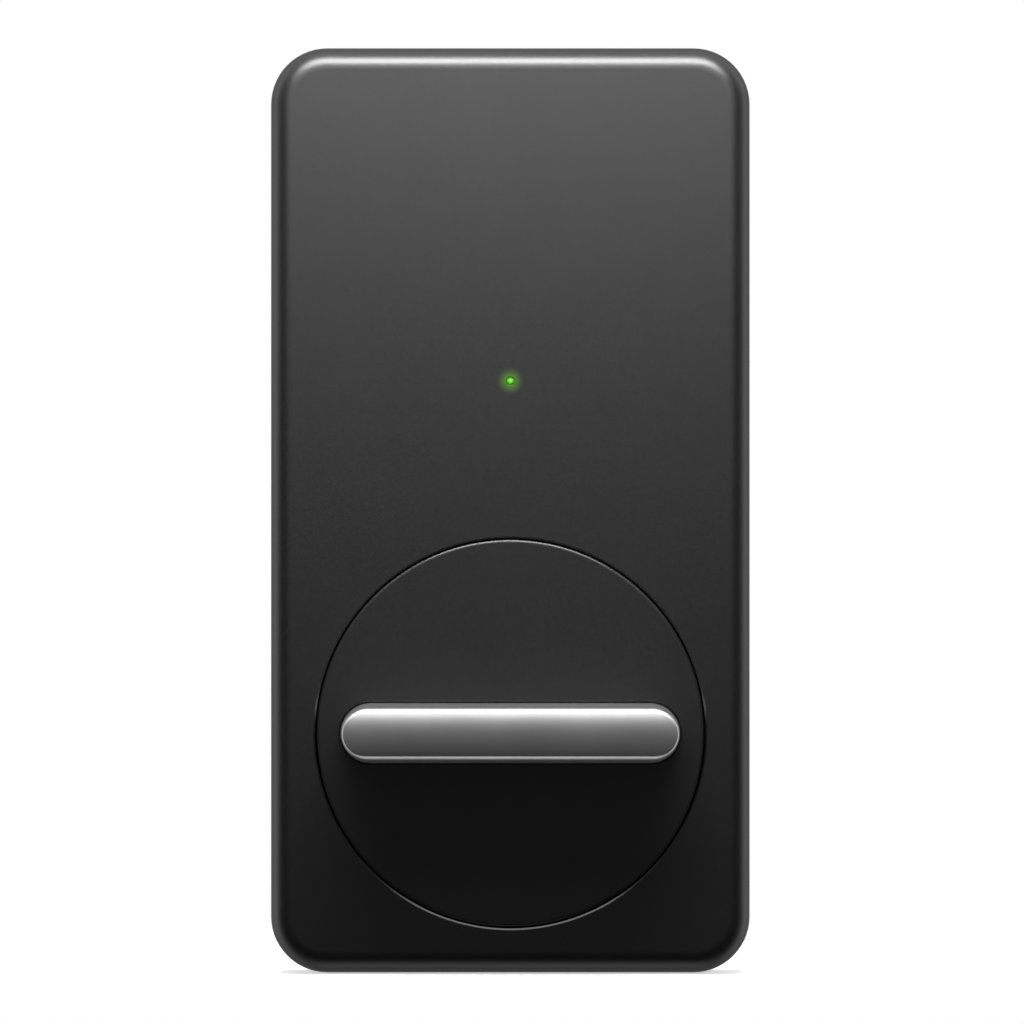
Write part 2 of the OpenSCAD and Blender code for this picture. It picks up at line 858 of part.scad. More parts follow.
module contact_plate() {
    translate([-contact_w / 2, -contact_w / 2, 0]) cube([contact_w, contact_w, contact_t]);
}

module battery_springs() {
    on_door() color("gold")
        for (end = [[upper_cell_y, -1], [lower_cell_y, 1]]) cell_contact(end[0], end[1]) {
            contact_plate();
            translate([0, 0, contact_t - 0.1])
                wire_spring(5, 3, 0.3, contact_reach - contact_t, 3);
        }
}

module battery_contacts() {
    on_door() color("gold")
        for (end = [[upper_cell_y, 1], [lower_cell_y, -1]]) cell_contact(end[0], end[1]) {
            contact_plate();
            rod(cap_r - 0.2, contact_t - 0.1, contact_reach);
        }
}

// ------------------------------------------------------------- front cover

module front_cover() {
    on_door() color("#1d1d1f") difference() {
        union() {
            difference() {
                translate([0, mid_y]) soft_body(cover_back, body_depth, edge_r, 1);
                translate([0, mid_y]) rounded_plate(inner_w, inner_h, inner_r,
                    cover_back - cut, body_depth - cover_front_t);
            }
            at_each(CORNERS) rod(magnet_boss_r, magnet_back, body_depth - cut);
        }
        at_each(CORNERS) rod(magnet_r, magnet_back - cut, magnet_back + magnet_t);
        rod(disc_r + disc_gap, cover_back, body_depth + cut);
        translate([0, light_height]) rod(light_hole_d / 2, cover_back, body_depth + cut);
    }
}

module cover_magnets() {
    on_door() color("silver")
        at_each(CORNERS) rod(magnet_r, magnet_back, magnet_back + magnet_t);
}

housing();
adhesive_pad();
mount_plate();
plate_screws();
turn_adaptor();
adaptor_pads();
adaptor_screw();
spindle();
spindle_screws();
spindle_clip();
output_gear();
rear_bush();
front_bush();
gearbox_base();
gearbox_cover();
gearbox_screws();
gear_axles();
second_gear();
first_gear();
motor();
motor_shaft();
motor_pinion();
motor_screws();
motor_leads();
chassis();
chassis_screws();
circuit_board();
board_screws();
radio_module();
control_chip();
driver_chip();
buzzer();
status_led();
light_pipe();
setup_switch();
setup_button();
battery_upper();
battery_lower();
battery_springs();
battery_contacts();
front_cover();
cover_magnets();
knob_disc();
knob_bar();
knob_bar_screws();
dust_seal();
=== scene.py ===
# Looks of a smart door lock's indoor turn unit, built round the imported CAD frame.
# Row frame, in metres: x to the right, +z up the door, and -y out of the door towards
# the room. The turn axis lies along y through the origin.
import math

import bmesh
import bpy
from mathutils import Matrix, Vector


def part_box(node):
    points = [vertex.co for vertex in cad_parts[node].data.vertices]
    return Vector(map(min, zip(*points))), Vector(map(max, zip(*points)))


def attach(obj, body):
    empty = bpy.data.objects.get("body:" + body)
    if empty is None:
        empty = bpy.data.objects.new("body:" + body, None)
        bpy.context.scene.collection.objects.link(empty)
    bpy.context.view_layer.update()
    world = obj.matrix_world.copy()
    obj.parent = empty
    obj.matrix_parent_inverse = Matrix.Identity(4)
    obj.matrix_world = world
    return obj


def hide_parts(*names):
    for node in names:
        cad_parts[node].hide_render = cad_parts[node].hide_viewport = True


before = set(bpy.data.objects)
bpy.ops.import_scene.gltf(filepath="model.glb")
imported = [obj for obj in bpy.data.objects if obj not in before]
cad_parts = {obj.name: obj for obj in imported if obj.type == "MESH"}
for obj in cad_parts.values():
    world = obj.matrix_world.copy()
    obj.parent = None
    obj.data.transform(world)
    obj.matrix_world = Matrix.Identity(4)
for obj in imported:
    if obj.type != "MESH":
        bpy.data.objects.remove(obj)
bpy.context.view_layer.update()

MM = 0.001

# ------------------------------------------------------------ places from the CAD

COVER_LO, COVER_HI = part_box("front_cover")
HOUSING_LO, HOUSING_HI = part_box("housing")
DISC_LO, DISC_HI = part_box("knob_disc")
BAR_LO, BAR_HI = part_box("knob_bar")
PIPE_LO, PIPE_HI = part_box("light_pipe")
MAGNETS_LO, MAGNETS_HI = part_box("cover_magnets")

BODY_MIDDLE = (COVER_LO + COVER_HI) / 2
HALF_W = (COVER_HI.x - COVER_LO.x) / 2
HALF_H = (COVER_HI.z - COVER_LO.z) / 2
FRONT_Y = COVER_LO.y
COVER_BACK_Y = COVER_HI.y
HOUSING_FRONT_Y = HOUSING_LO.y
HOUSING_BACK_Y = HOUSING_HI.y
DISC_R = (DISC_HI.x - DISC_LO.x) / 2
PIPE = Vector((0, 0, (PIPE_LO.z + PIPE_HI.z) / 2))

# Sizes of the mouldings that the CAD boxes don't give
CORNER_R = 6.8 * MM
FRONT_EDGE_R = 2.5 * MM
REAR_EDGE_R = 1.2 * MM
WALL = 2.0 * MM
COVER_SKIN = 1.8 * MM
SHELL_RIM = 0.12 * MM
DISC_GAP = 0.18 * MM
HOLE_LEAD_W = 0.20 * MM
HOLE_LEAD_D = 0.082 * MM
HOLE_LEAD_GLOSS = 0.4
DISC_EDGE_R = 0.35 * MM
LIGHT_HOLE_R = 0.53 * MM
LIGHT_LEAD = 0.05 * MM
MAGNET_R = 2.2 * MM
MAGNET_WALL = 0.7 * MM
REAR_PANEL_Y = -3.4 * MM
REAR_PANEL_T = 2.0 * MM
WELL_R = 24.0 * MM
WELL_WALL = 1.6 * MM
WELL_FRONT_Y = -22.0 * MM

# Finger bar: its front is a shallow crown across the bar with a rounded rim
BAR_DRAFT = 0.5 * MM
BAR_CROWN = 0.62 * MM
BAR_RIM_R = 0.6 * MM
BAR_END_SHARE = 0.35
CROWN_STEPS = 18
BASE_GROOVE_W = 0.22 * MM
BASE_GROOVE_D = 0.5 * MM

# Adhesive pad
PAD_R = 3.0 * MM
PAD_CRUSH = 0.2 * MM

# Cells: the cap, the can's rounded ends, its crimped neck, and the film's ends
CELL_CAP_R = 3.2 * MM
CELL_CAP_T = 0.6 * MM
CELL_EDGE_R = 0.6 * MM
CELL_EDGE_MID = (0.2 * MM, 0.15 * MM)
NECK_AT = 2.6 * MM
NECK_HALF_W = 0.3 * MM
NECK_SLOPE = 0.5 * MM
NECK_DEPTH = 0.35 * MM
FILM_OPENING = 0.72
FILM_LIP = 0.03 * MM
FILM_INSET = 0.02 * MM

# Shares of a cell's radius where its steel ends come out from under the film
STEEL_HIDDEN = 0.7
STEEL_RIM = 0.68

# Width of the flat strip beside a rounding, which keeps the flat's shading flat
STRIP = 0.06 * MM

# Sides of the disc, and of the hole round it
DISC_STEPS = 192

# Green light: its rod, its glow in the rod, and a green glow painted on the cover round it
PIPE_COLOUR = (0.05, 0.2, 0.02, 1)
LIGHT_COLOUR = (0.215, 1.0, 0.008, 1)
CORE_R = 0.23 * MM
CORE_LEVEL = 0.6
CORE_BASE = 0.12
# The glow on the cover is painted: light given off by the cover's own material round the hole
PAINTED_GLOW_COLOUR = (0.30, 1.0, 0.0, 1)
PAINTED_GLOW_R = 1.75 * MM
PAINTED_GLOW_LEVEL = 0.33
PAINTED_GLOW_POWER = 1.6

FRONT_BLACK = (0.0045, 0.0045, 0.0046)
FRONT_ROUGHNESS = 0.38
STEEL = (0.62, 0.62, 0.62)

# Unevenness that every plastic and every metal has
PLASTIC_CLOUD = 9 * MM
PLASTIC_CLOUD_GLOSS = 0.02
PLASTIC_GRAIN_GLOSS = 0.04
PLASTIC_GRAIN_DEPTH = 0.006 * MM
METAL_CLOUD = 6 * MM
METAL_GRAIN_GLOSS = 0.05
METAL_DARK = 0.94
METAL_LIGHT = 1.05

# CAD nodes get a soft edge where their faces turn by more than this many degrees
SHARP_EDGE_DEG = 40

# Strip light above the front, as seen from the cover's top edge
KEY_ANGLE = 46.0
KEY_FAR = 85 * MM
KEY_WIDE = 120 * MM
KEY_TALL = 40 * MM
KEY_LEVEL = 34.0
KEY_AIM_DOWN = 1 * MM

# Fill light above and in front of the knob, and a bounce from almost straight below it
FILL_ANGLE = 41.0
FILL_FAR = 500 * MM
FILL_WIDE = 420 * MM
FILL_TALL = 140 * MM
FILL_LEVEL = 3.6
BOUNCE_ANGLE = -78.0
BOUNCE_SIZE = 260 * MM
BOUNCE_LEVEL = 0.95

# Card in front of the object, which fades downwards
CARD_STRIPS = 12
CARD_FAR = 75 * MM
CARD_WIDE = 120 * MM
CARD_OVER = 18 * MM
CARD_UNDER = 12 * MM
CARD_FADE = 30 * MM
CARD_LEVEL = 1.94
CARD_BASE = 0.05

# The surroundings seen in reflections, as pairs of y and brightness. y is -1 in front of the
# object and 1 behind it. Height z changes the brightness by ENV_LIFT z - ENV_DROP z^2.
ENV_SIDES = ((-0.50, 0.0), (-0.34, 0.12), (-0.16, 0.6), (0.04, 1.0), (0.30, 1.0), (0.60, 0.3))
ENV_SIDE = 1.7
ENV_LIFT = 0.25
ENV_DROP = 0.5
ENV_BASE = 0.01

# Pale floor, lit and glowing just enough to stay near white
FLOOR_R = 0.34
FLOOR_GAP = 0.2 * MM
FLOOR_CLOUD = 50 * MM
FLOOR_DARK = 0.86
FLOOR_LIGHT = 0.9
FLOOR_GLOW = 0.55

LENS = 1500.0
SENSOR = 36.0
VIEW_WIDTH = 124.05 * MM
# The object sits a hair left of and above the middle of the picture
VIEW_SHIFT = Vector((0.20 * MM, 0, -0.2 * MM))


# ------------------------------------------------------------------ mesh helpers

def rounded_rect(half_w, half_h, radius, centre=(0, 0), steps=14):
    """Outline, as (x, z) points, of a rectangle with round corners."""
    points = []
    corners = ((1, 1, 0), (-1, 1, 90), (-1, -1, 180), (1, -1, 270))
    for sign_x, sign_z, start in corners:
        for i in range(steps + 1):
            angle = math.radians(start + 90 * i / steps)
            x = centre[0] + sign_x * (half_w - radius) + radius * math.cos(angle)
            z = centre[1] + sign_z * (half_h - radius) + radius * math.sin(angle)
            points.append((x, z))
    return points


def circle(radius, centre=(0, 0), steps=96):
    """Points round a circle, as pairs of coordinates."""
    turn = [2 * math.pi * i / steps for i in range(steps)]
    return [(centre[0] + radius * math.cos(a), centre[1] + radius * math.sin(a)) for a in turn]


def stadium(half_len, half_w, steps=28):
    """Outline, as (x, z) points, of a bar with full-round ends."""
    points = []
    for sign, start in ((1, -90), (-1, 90)):
        for i in range(steps + 1):
            angle = math.radians(start + 180 * i / steps)
            x = sign * (half_len - half_w) + half_w * math.cos(angle)
            points.append((x, half_w * math.sin(angle)))
    return points


def ring(bm, points, y):
    """Vertices of an outline at depth y."""
    return [bm.verts.new((x, y, z)) for x, z in points]


def bridge(bm, first, second):
    """Wall of faces between two rings with as many vertices each."""
    count = len(first)
    for i in range(count):
        j = (i + 1) % count
        bm.faces.new((first[i], first[j], second[j], second[i]))


def loft(bm, rings):
    """Walls through a list of rings. Returns the first and the last ring."""
    for first, second in zip(rings, rings[1:]):
        bridge(bm, first, second)
    return rings[0], rings[-1]


def loop_edges(bm, loop):
    """Edges round a ring, made where they are missing."""
    edges = []
    for i, vert in enumerate(loop):
        other = loop[(i + 1) % len(loop)]
        edge = bm.edges.get((vert, other))
        edges.append(edge or bm.edges.new((vert, other)))
    return edges


def fill_flat(bm, *loops):
    """Flat face inside the first loop, with the other loops as holes in it."""
    edges = []
    for loop in loops:
        edges += loop_edges(bm, loop)
    bmesh.ops.triangle_fill(bm, edges=edges, use_beauty=True, use_dissolve=False)


def arc_steps(radius, count=8):
    """(inset, drop) pairs round a quarter circle, from the side wall to the flat face."""
    pairs = []
    for i in range(count + 1):
        angle = math.radians(90 * i / count)
        pairs.append((radius * (1 - math.cos(angle)), radius * (1 - math.sin(angle))))
    return pairs


def tube(bm, outer_r, inner_r, y0, y1, centre=(0, 0), steps=40):
    """Closed round tube along y, as a shell of its own."""
    spans = ((outer_r, y0), (outer_r, y1), (inner_r, y1), (inner_r, y0), (outer_r, y0))
    rings = [ring(bm, circle(r, centre, steps), y) for r, y in spans[:-1]]
    loft(bm, rings + [rings[0]])


def finish_piece(bm, name, material, body, replaced=(), sharp_deg=32):
    """Turns the built mesh into a piece that rides on a body."""
    bmesh.ops.remove_doubles(bm, verts=bm.verts, dist=1e-7)
    bmesh.ops.recalc_face_normals(bm, faces=bm.faces)
    limit = math.radians(sharp_deg)
    for face in bm.faces:
        face.smooth = True
    for edge in bm.edges:
        edge.smooth = len(edge.link_faces) == 2 and edge.calc_face_angle(0) < limit
    mesh = bpy.data.meshes.new(name)
    bm.to_mesh(mesh)
    bm.free()
    mesh.materials.append(material)
    piece = bpy.data.objects.new(name, mesh)
    bpy.context.scene.collection.objects.link(piece)
    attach(piece, body)
    if replaced:
        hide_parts(*replaced)


# ---------------------------------------------------------------- material helpers

class Nodes:
    """A node tree, with short calls for the nodes used here."""

    def __init__(self, tree):
        self.tree = tree

    def new(self, kind):
        """Adds a node."""
        return self.tree.nodes.new(kind)

    def link(self, source, target):
        """Joins a node's output to another node's input."""
        self.tree.links.new(source, target)

    def ramp(self, source, stops):
        """Colour ramp; stops is a list of (place, colour or grey)."""
        node = self.new("ShaderNodeValToRGB")
        elements = node.color_ramp.elements
        while len(elements) < len(stops):
            elements.new(0.5)
        for element, (place, colour) in zip(elements, stops):
            element.position = place
            grey = isinstance(colour, (int, float))
            element.color = (colour, colour, colour, 1) if grey else (*colour, 1)
        self.link(source, node.inputs["Fac"])
        return node.outputs["Color"]

    def math(self, operation, a, b=None, c=None):
        """Math node; an operand is a number or another node's output."""
        node = self.new("ShaderNodeMath")
        node.operation = operation
        for socket, value in zip(node.inputs, (a, b, c)):
            if isinstance(value, (int, float)):
                socket.default_value = value
            elif value is not None:
                self.link(value, socket)
        return node.outputs[0]


class Paint(Nodes):
    """A new material's node tree, with its shader and the object's coordinates."""

    def __init__(self, name):
        self.material = bpy.data.materials.new(name)
        self.material.use_nodes = True
        super().__init__(self.material.node_tree)
        self.shader = self.tree.nodes["Principled BSDF"]
        self.coords = self.new("ShaderNodeTexCoord").outputs["Object"]

    def set(self, **values):
        """Sets the shader's own sockets; an underscore stands for a space."""
        for key, value in values.items():
            self.shader.inputs[key.replace("_", " ")].default_value = value

    def feed(self, socket, source):
        """Links a source to one of the shader's sockets."""
        self.link(source, self.shader.inputs[socket])

    def shade(self, noise, dark, light, low=0.3, high=0.7):
        """Base colour that goes from dark to light as a noise goes from low to high."""
        self.feed("Base Color", self.ramp(noise, [(low, dark), (high, light)]))

    def scaled(self, scale):
        """The object's coordinates, with a scale for each axis."""
        mapping = self.new("ShaderNodeMapping")
        mapping.inputs["Scale"].default_value = scale
        self.link(self.coords, mapping.inputs["Vector"])
        return mapping.outputs["Vector"]

    def noise(self, size, detail=2.0, roughness=0.5, stretch=(1, 1, 1)):
        """Noise whose features are about size metres across."""
        node = self.new("ShaderNodeTexNoise")
        node.inputs["Scale"].default_value = 1.0
        node.inputs["Detail"].default_value = detail
        node.inputs["Roughness"].default_value = roughness
        self.link(self.scaled([s / size for s in stretch]), node.inputs["Vector"])
        return node.outputs["Fac"]

    def voronoi(self, size, feature="F1"):
        """Distances in a cell pattern whose cells are about size metres across."""
        node = self.new("ShaderNodeTexVoronoi")
        node.feature = feature
        node.inputs["Scale"].default_value = 1.0
        self.link(self.scaled([1 / size] * 3), node.inputs["Vector"])
        return node.outputs["Distance"]

    def distance(self, point):
        """Distance in metres from a fixed point."""
        node = self.new("ShaderNodeVectorMath")
        node.operation = "DISTANCE"
        node.inputs[1].default_value = point
        self.link(self.coords, node.inputs[0])
        return node.outputs["Value"]

    def span(self, source, low, high):
        """Maps 0..1 to low..high."""
        node = self.new("ShaderNodeMapRange")
        node.inputs["To Min"].default_value = low
        node.inputs["To Max"].default_value = high
        self.link(source, node.inputs["Value"])
        return node.outputs["Result"]

    def about(self, source, middle, change):
        """Maps 0..1 to a change either side of a middle value."""
        return self.span(source, middle - change, middle + change)

    def bump(self, height, depth, strength=1.0):
        """Bump of the given depth in metres."""
        node = self.new("ShaderNodeBump")
        node.inputs["Strength"].default_value = strength
        node.inputs["Distance"].default_value = depth
        self.link(height, node.inputs["Height"])
        return node.outputs["Normal"]

    def mix(self, factor, a, b):
        """Colour a where factor is 0 and b where it is 1."""
        node = self.new("ShaderNodeMix")
        node.data_type = "RGBA"
        self.link(factor, node.inputs["Factor"])
        # The mix node has sockets for every kind of data; these are the ones for colour
        first, second, result = node.inputs[6], node.inputs[7], node.outputs[2]
        for socket, value in ((first, a), (second, b)):
            if isinstance(value, tuple):
                socket.default_value = (*value, 1)
            else:
                self.link(value, socket)
        return result


def shaded(colour, share):
    """A colour made darker or lighter, with no channel above white."""
    return [min(1.0, c * share) for c in colour]


def moulded_plastic(name, colour, roughness=0.45, grain=0.30 * MM, spread=0.25, specular=0.5):
    """Moulded plastic with a fine even grain, faint cloudiness and uneven gloss."""
    n = Paint(name)
    n.set(Specular_IOR_Level=specular)
    grain_noise = n.noise(grain, detail=3.0, roughness=0.6)
    cloud = n.noise(PLASTIC_CLOUD)
    n.shade(grain_noise, shaded(colour, 1 - spread), shaded(colour, 1 + spread))
    cloud_gloss = n.about(cloud, 0.0, PLASTIC_CLOUD_GLOSS)
    grain_gloss = n.about(grain_noise, roughness, PLASTIC_GRAIN_GLOSS)
    n.feed("Roughness", n.math("ADD", cloud_gloss, grain_gloss))
    n.feed("Normal", n.bump(grain_noise, PLASTIC_GRAIN_DEPTH))
    return n


def satin_metal(name, colour, roughness=0.3, grain=0.12 * MM, grain_depth=0.001 * MM,
                stretch=(1, 1, 1)):
    """Metal with a fine blasted or brushed surface."""
    n = Paint(name)
    n.set(Metallic=1.0)
    grain_noise = n.noise(grain, detail=3.0, roughness=0.6, stretch=stretch)
    cloud = n.noise(METAL_CLOUD)
    n.shade(cloud, shaded(colour, METAL_DARK), shaded(colour, METAL_LIGHT))
    n.feed("Roughness", n.about(grain_noise, roughness, METAL_GRAIN_GLOSS))
    n.feed("Normal", n.bump(grain_noise, grain_depth))
    return n


def turned_metal(name, colour, roughness=0.28):
    """Metal turned on a lathe whose axis lies along y, with fine rings round it."""
    rings = (0.05, 1, 0.05)
    return satin_metal(name, colour, roughness, grain=0.1 * MM, grain_depth=0.002 * MM, stretch=rings)


def brushed_plate(name, colour, roughness=0.38):
    """Rolled sheet with a grain along x."""
    along_x = (0.04, 1, 1)
    return satin_metal(name, colour, roughness, grain_depth=0.002 * MM, stretch=along_x)


def cover_paint():
    """The black plastic of the front, with a painted green glow in a small patch round the status
    light.
    """
    n = moulded_plastic("cover_plastic", FRONT_BLACK, FRONT_ROUGHNESS)
    # Painted glow: the cover itself gives off green light, fading out from the status light's hole
    near = n.math("DIVIDE", n.distance((PIPE.x, FRONT_Y, PIPE.z)), PAINTED_GLOW_R)
    painted_glow = n.math("POWER", n.math("SUBTRACT", 1.0, n.math("MINIMUM", near, 1.0)), PAINTED_GLOW_POWER)
    n.set(Emission_Color=PAINTED_GLOW_COLOUR)
    n.feed("Emission Strength", n.math("MULTIPLY", painted_glow, PAINTED_GLOW_LEVEL))
    # The lead-in of the disc's hole is smoother than the moulded face
    face_roughness = n.shader.inputs["Roughness"].links[0].from_socket
    lead = n.math("LESS_THAN", n.distance((0, FRONT_Y, 0)), DISC_R + DISC_GAP + HOLE_LEAD_W)
    n.feed("Roughness", n.math("MULTIPLY", face_roughness, n.span(lead, 1.0, HOLE_LEAD_GLOSS)))
    return n


def lit_plastic():
    """Light pipe with the status light on behind it, brightest along its middle."""
    n = Paint("lit_pipe")
    n.set(Base_Color=PIPE_COLOUR, Roughness=0.5, Specular_IOR_Level=0.1, Emission_Color=LIGHT_COLOUR)
    near = n.math("DIVIDE", n.distance((PIPE.x, PIPE_LO.y, PIPE.z)), CORE_R)
    core = n.math("EXPONENT", n.math("MULTIPLY", n.math("MULTIPLY", near, near), -1.0))
    n.feed("Emission Strength", n.math("MULTIPLY_ADD", core, CORE_LEVEL, CORE_BASE))
    return n


def foam(name, colour):
    """Closed-cell foam with small open cells in its skin, which are painted darker as shade in the
    pits.
    """
    n = Paint(name)
    cells = n.voronoi(0.45 * MM)
    # Painted shade: the colour darkens towards the middle of each open cell, where the bump makes a
    # pit
    n.shade(cells, shaded(colour, 0.35), colour, low=0.0, high=0.45)
    n.set(Roughness=0.9, Specular_IOR_Level=0.25)
    n.feed("Normal", n.bump(cells, depth=0.12 * MM, strength=0.8))
    return n


def felt(name, colour):
    """Pressed fibres: two crossed sets of fine streaks."""
    n = Paint(name)
    across = n.noise(0.5 * MM, detail=5.0, roughness=0.7, stretch=(4, 1, 1))
    along = n.noise(0.5 * MM, detail=5.0, roughness=0.7, stretch=(1, 1, 4))
    fibres = n.math("MULTIPLY", n.math("ADD", across, along), 0.5)
    n.shade(fibres, shaded(colour, 0.5), shaded(colour, 1.7), low=0.35, high=0.65)
    n.set(Roughness=1.0, Specular_IOR_Level=0.2)
    n.feed("Normal", n.bump(fibres, depth=0.15 * MM))
    return n


def board_lacquer(name):
    """Green solder mask over copper tracks, with tinned pads."""
    n = Paint(name)
    pitch = 2.2 * MM
    lacquer = (0.012, 0.075, 0.03)
    over_copper = (0.03, 0.15, 0.06)
    tin = (0.6, 0.58, 0.52)
    tracks = n.ramp(n.voronoi(pitch, "DISTANCE_TO_EDGE"), [(0.06, 1.0), (0.09, 0.0)])
    pads = n.ramp(n.voronoi(pitch), [(0.16, 1.0), (0.2, 0.0)])
    n.feed("Base Color", n.mix(pads, n.mix(tracks, lacquer, over_copper), tin))
    n.feed("Metallic", pads)
    n.feed("Roughness", n.span(n.noise(4 * MM), low=0.28, high=0.4))
    n.feed("Normal", n.bump(tracks, depth=0.03 * MM))
    return n


def shrink_wrap(name, colour):
    """Glossy heat-shrunk film with faint ripples."""
    n = Paint(name)
    ripple = n.noise(3 * MM, stretch=(0.3, 1, 1))
    n.shade(ripple, shaded(colour, 0.9), colour)
    n.feed("Roughness", n.span(ripple, low=0.22, high=0.32))
    n.feed("Normal", n.bump(ripple, depth=0.08 * MM, strength=0.5))
    return n


# --------------------------------------------------------------- front and knob

def magnet_centres():
    """(x, z) of the four magnets, worked out from their common box."""
    xs = (MAGNETS_LO.x + MAGNET_R, MAGNETS_HI.x - MAGNET_R)
    zs = (MAGNETS_LO.z + MAGNET_R, MAGNETS_HI.z - MAGNET_R)
    return [(x, z) for x in xs for z in zs]


def body_outline(inset):
    """Outline of the body, drawn in by inset."""
    middle = (BODY_MIDDLE.x, BODY_MIDDLE.z)
    return rounded_rect(HALF_W - inset, HALF_H - inset, CORNER_R - inset, middle)


def build_cover(material):
    """Front shell: rounded front edge, round hole for the disc and a small light hole."""
    bm = bmesh.new()
    inner_y = FRONT_Y + COVER_SKIN
    hole_r = DISC_R + DISC_GAP
    sides = [(WALL, inner_y + STRIP), (WALL, COVER_BACK_Y - SHELL_RIM)]
    sides += [(WALL - SHELL_RIM, COVER_BACK_Y), (SHELL_RIM, COVER_BACK_Y)]
    sides += [(0, COVER_BACK_Y - SHELL_RIM), (0, FRONT_Y + FRONT_EDGE_R + STRIP)]
    sides += [(inset, FRONT_Y + drop) for inset, drop in arc_steps(FRONT_EDGE_R, count=12)]
    sides += [(FRONT_EDGE_R + STRIP, FRONT_Y)]
    rings = [ring(bm, body_outline(inset), y) for inset, y in sides]
    inner_loop, outer_loop = loft(bm, rings)

    def hole(radius, lead_w, lead_d, at, steps):
        """A round hole through the skin, with a lead-in. Returns its front and back loops."""
        spans = [(radius + lead_w, FRONT_Y), (radius, FRONT_Y + lead_d)]
        spans += [(radius, inner_y - STRIP), (radius, inner_y)]
        rings = [ring(bm, circle(r, at, steps), y) for r, y in spans]
        return loft(bm, rings)

    light_at = (PIPE.x, PIPE.z)
    disc_front, disc_back = hole(hole_r, HOLE_LEAD_W, HOLE_LEAD_D, (0, 0), DISC_STEPS)
    light_front, light_back = hole(LIGHT_HOLE_R, LIGHT_LEAD, LIGHT_LEAD, light_at, steps=40)
    fill_flat(bm, outer_loop, disc_front, light_front)
    back_loop = ring(bm, body_outline(WALL + STRIP), inner_y)
    bridge(bm, inner_loop, back_loop)
    fill_flat(bm, back_loop, disc_back, light_back)
    for at in magnet_centres():
        tube(bm, MAGNET_R + MAGNET_WALL, MAGNET_R, inner_y, MAGNETS_HI.y, at)
    finish_piece(bm, "cover_shell", material, "cover", ["front_cover"], sharp_deg=18)


def build_disc(material):
    """Turning disc with a softly rounded edge and a fine groove round the bar's foot."""
    bm = bmesh.new()
    half_len = (BAR_HI.x - BAR_LO.x) / 2
    half_w = (BAR_HI.z - BAR_LO.z) / 2
    edge = [(DISC_R - inset, DISC_LO.y + drop) for inset, drop in arc_steps(DISC_EDGE_R, count=5)]
    back_edge = 0.15 * MM
    spans = [(DISC_R - back_edge - STRIP, DISC_HI.y), (DISC_R - back_edge, DISC_HI.y)]
    spans += [(DISC_R, DISC_HI.y - back_edge)] + edge + [(edge[-1][0] - STRIP, DISC_LO.y)]
    rings = [ring(bm, circle(r, steps=DISC_STEPS), y) for r, y in spans]
    back_loop, front_loop = loft(bm, rings)
    fill_flat(bm, back_loop)
    lead = 0.06 * MM
    under_bar = 0.3 * MM
    walls = [(BASE_GROOVE_W + lead, 0), (BASE_GROOVE_W, lead), (BASE_GROOVE_W, BASE_GROOVE_D)]
    walls += [(-under_bar, BASE_GROOVE_D)]
    groove = [ring(bm, stadium(half_len + widen, half_w + widen), DISC_LO.y + depth)
              for widen, depth in walls]
    outer_loop, inner_loop = loft(bm, groove)
    fill_flat(bm, inner_loop)
    fill_flat(bm, front_loop, outer_loop)
    finish_piece(bm, "knob_disc_face", material, "turn_knob", ["knob_disc"])


def bar_front(place, z, half_w):
    """Drop of the bar's front below its spine, on the outline of half width place, at height z."""
    crown = BAR_CROWN * (z / half_w) ** 2
    into_rim = max(0.0, place - (half_w - BAR_RIM_R))
    rim = BAR_RIM_R - math.sqrt(BAR_RIM_R ** 2 - min(into_rim, BAR_RIM_R) ** 2)
    return crown + rim


def build_bar(material):
    """Finger bar: drafted sides, full-round ends and a crowned front."""
    bm = bmesh.new()
    half_len = (BAR_HI.x - BAR_LO.x) / 2
    half_w = (BAR_HI.z - BAR_LO.z) / 2
    front_w = half_w - BAR_DRAFT
    clearance = 0.05 * MM
    foot_y = DISC_LO.y + BASE_GROOVE_D - clearance
    rim_y = BAR_LO.y + BAR_CROWN + BAR_RIM_R
    rings = []
    side_steps = 6
    for i in range(side_steps):
        part = i / side_steps
        inset = BAR_DRAFT * part
        y = foot_y + (rim_y - foot_y) * part
        rings.append(ring(bm, stadium(half_len - BAR_END_SHARE * inset, half_w - inset), y))
    # Half widths of the front's outlines: round the rim, then in over the crown to the spine
    inner = front_w - BAR_RIM_R
    rim_steps = 9
    rim_turn = [math.pi / 2 * (1 - i / rim_steps) for i in range(rim_steps)]
    places = [inner + BAR_RIM_R * math.sin(angle) for angle in rim_turn]
    places += [inner * (1 - i / CROWN_STEPS) for i in range(CROWN_STEPS)]
    inner_len = half_len - BAR_END_SHARE * (half_w - inner)
    for place in places:
        end_share = BAR_END_SHARE if place > inner else 1.0
        outline = stadium(inner_len + end_share * (place - inner), place)
        front = [(x, BAR_LO.y + bar_front(place, z, front_w), z) for x, z in outline]
        rings.append([bm.verts.new(point) for point in front])
    foot_loop, top_loop = loft(bm, rings)
    fill_flat(bm, foot_loop)
    fill_flat(bm, top_loop)
    finish_piece(bm, "finger_bar", material, "turn_knob", ["knob_bar"], sharp_deg=60)


# ------------------------------------------------------------ body and inner parts

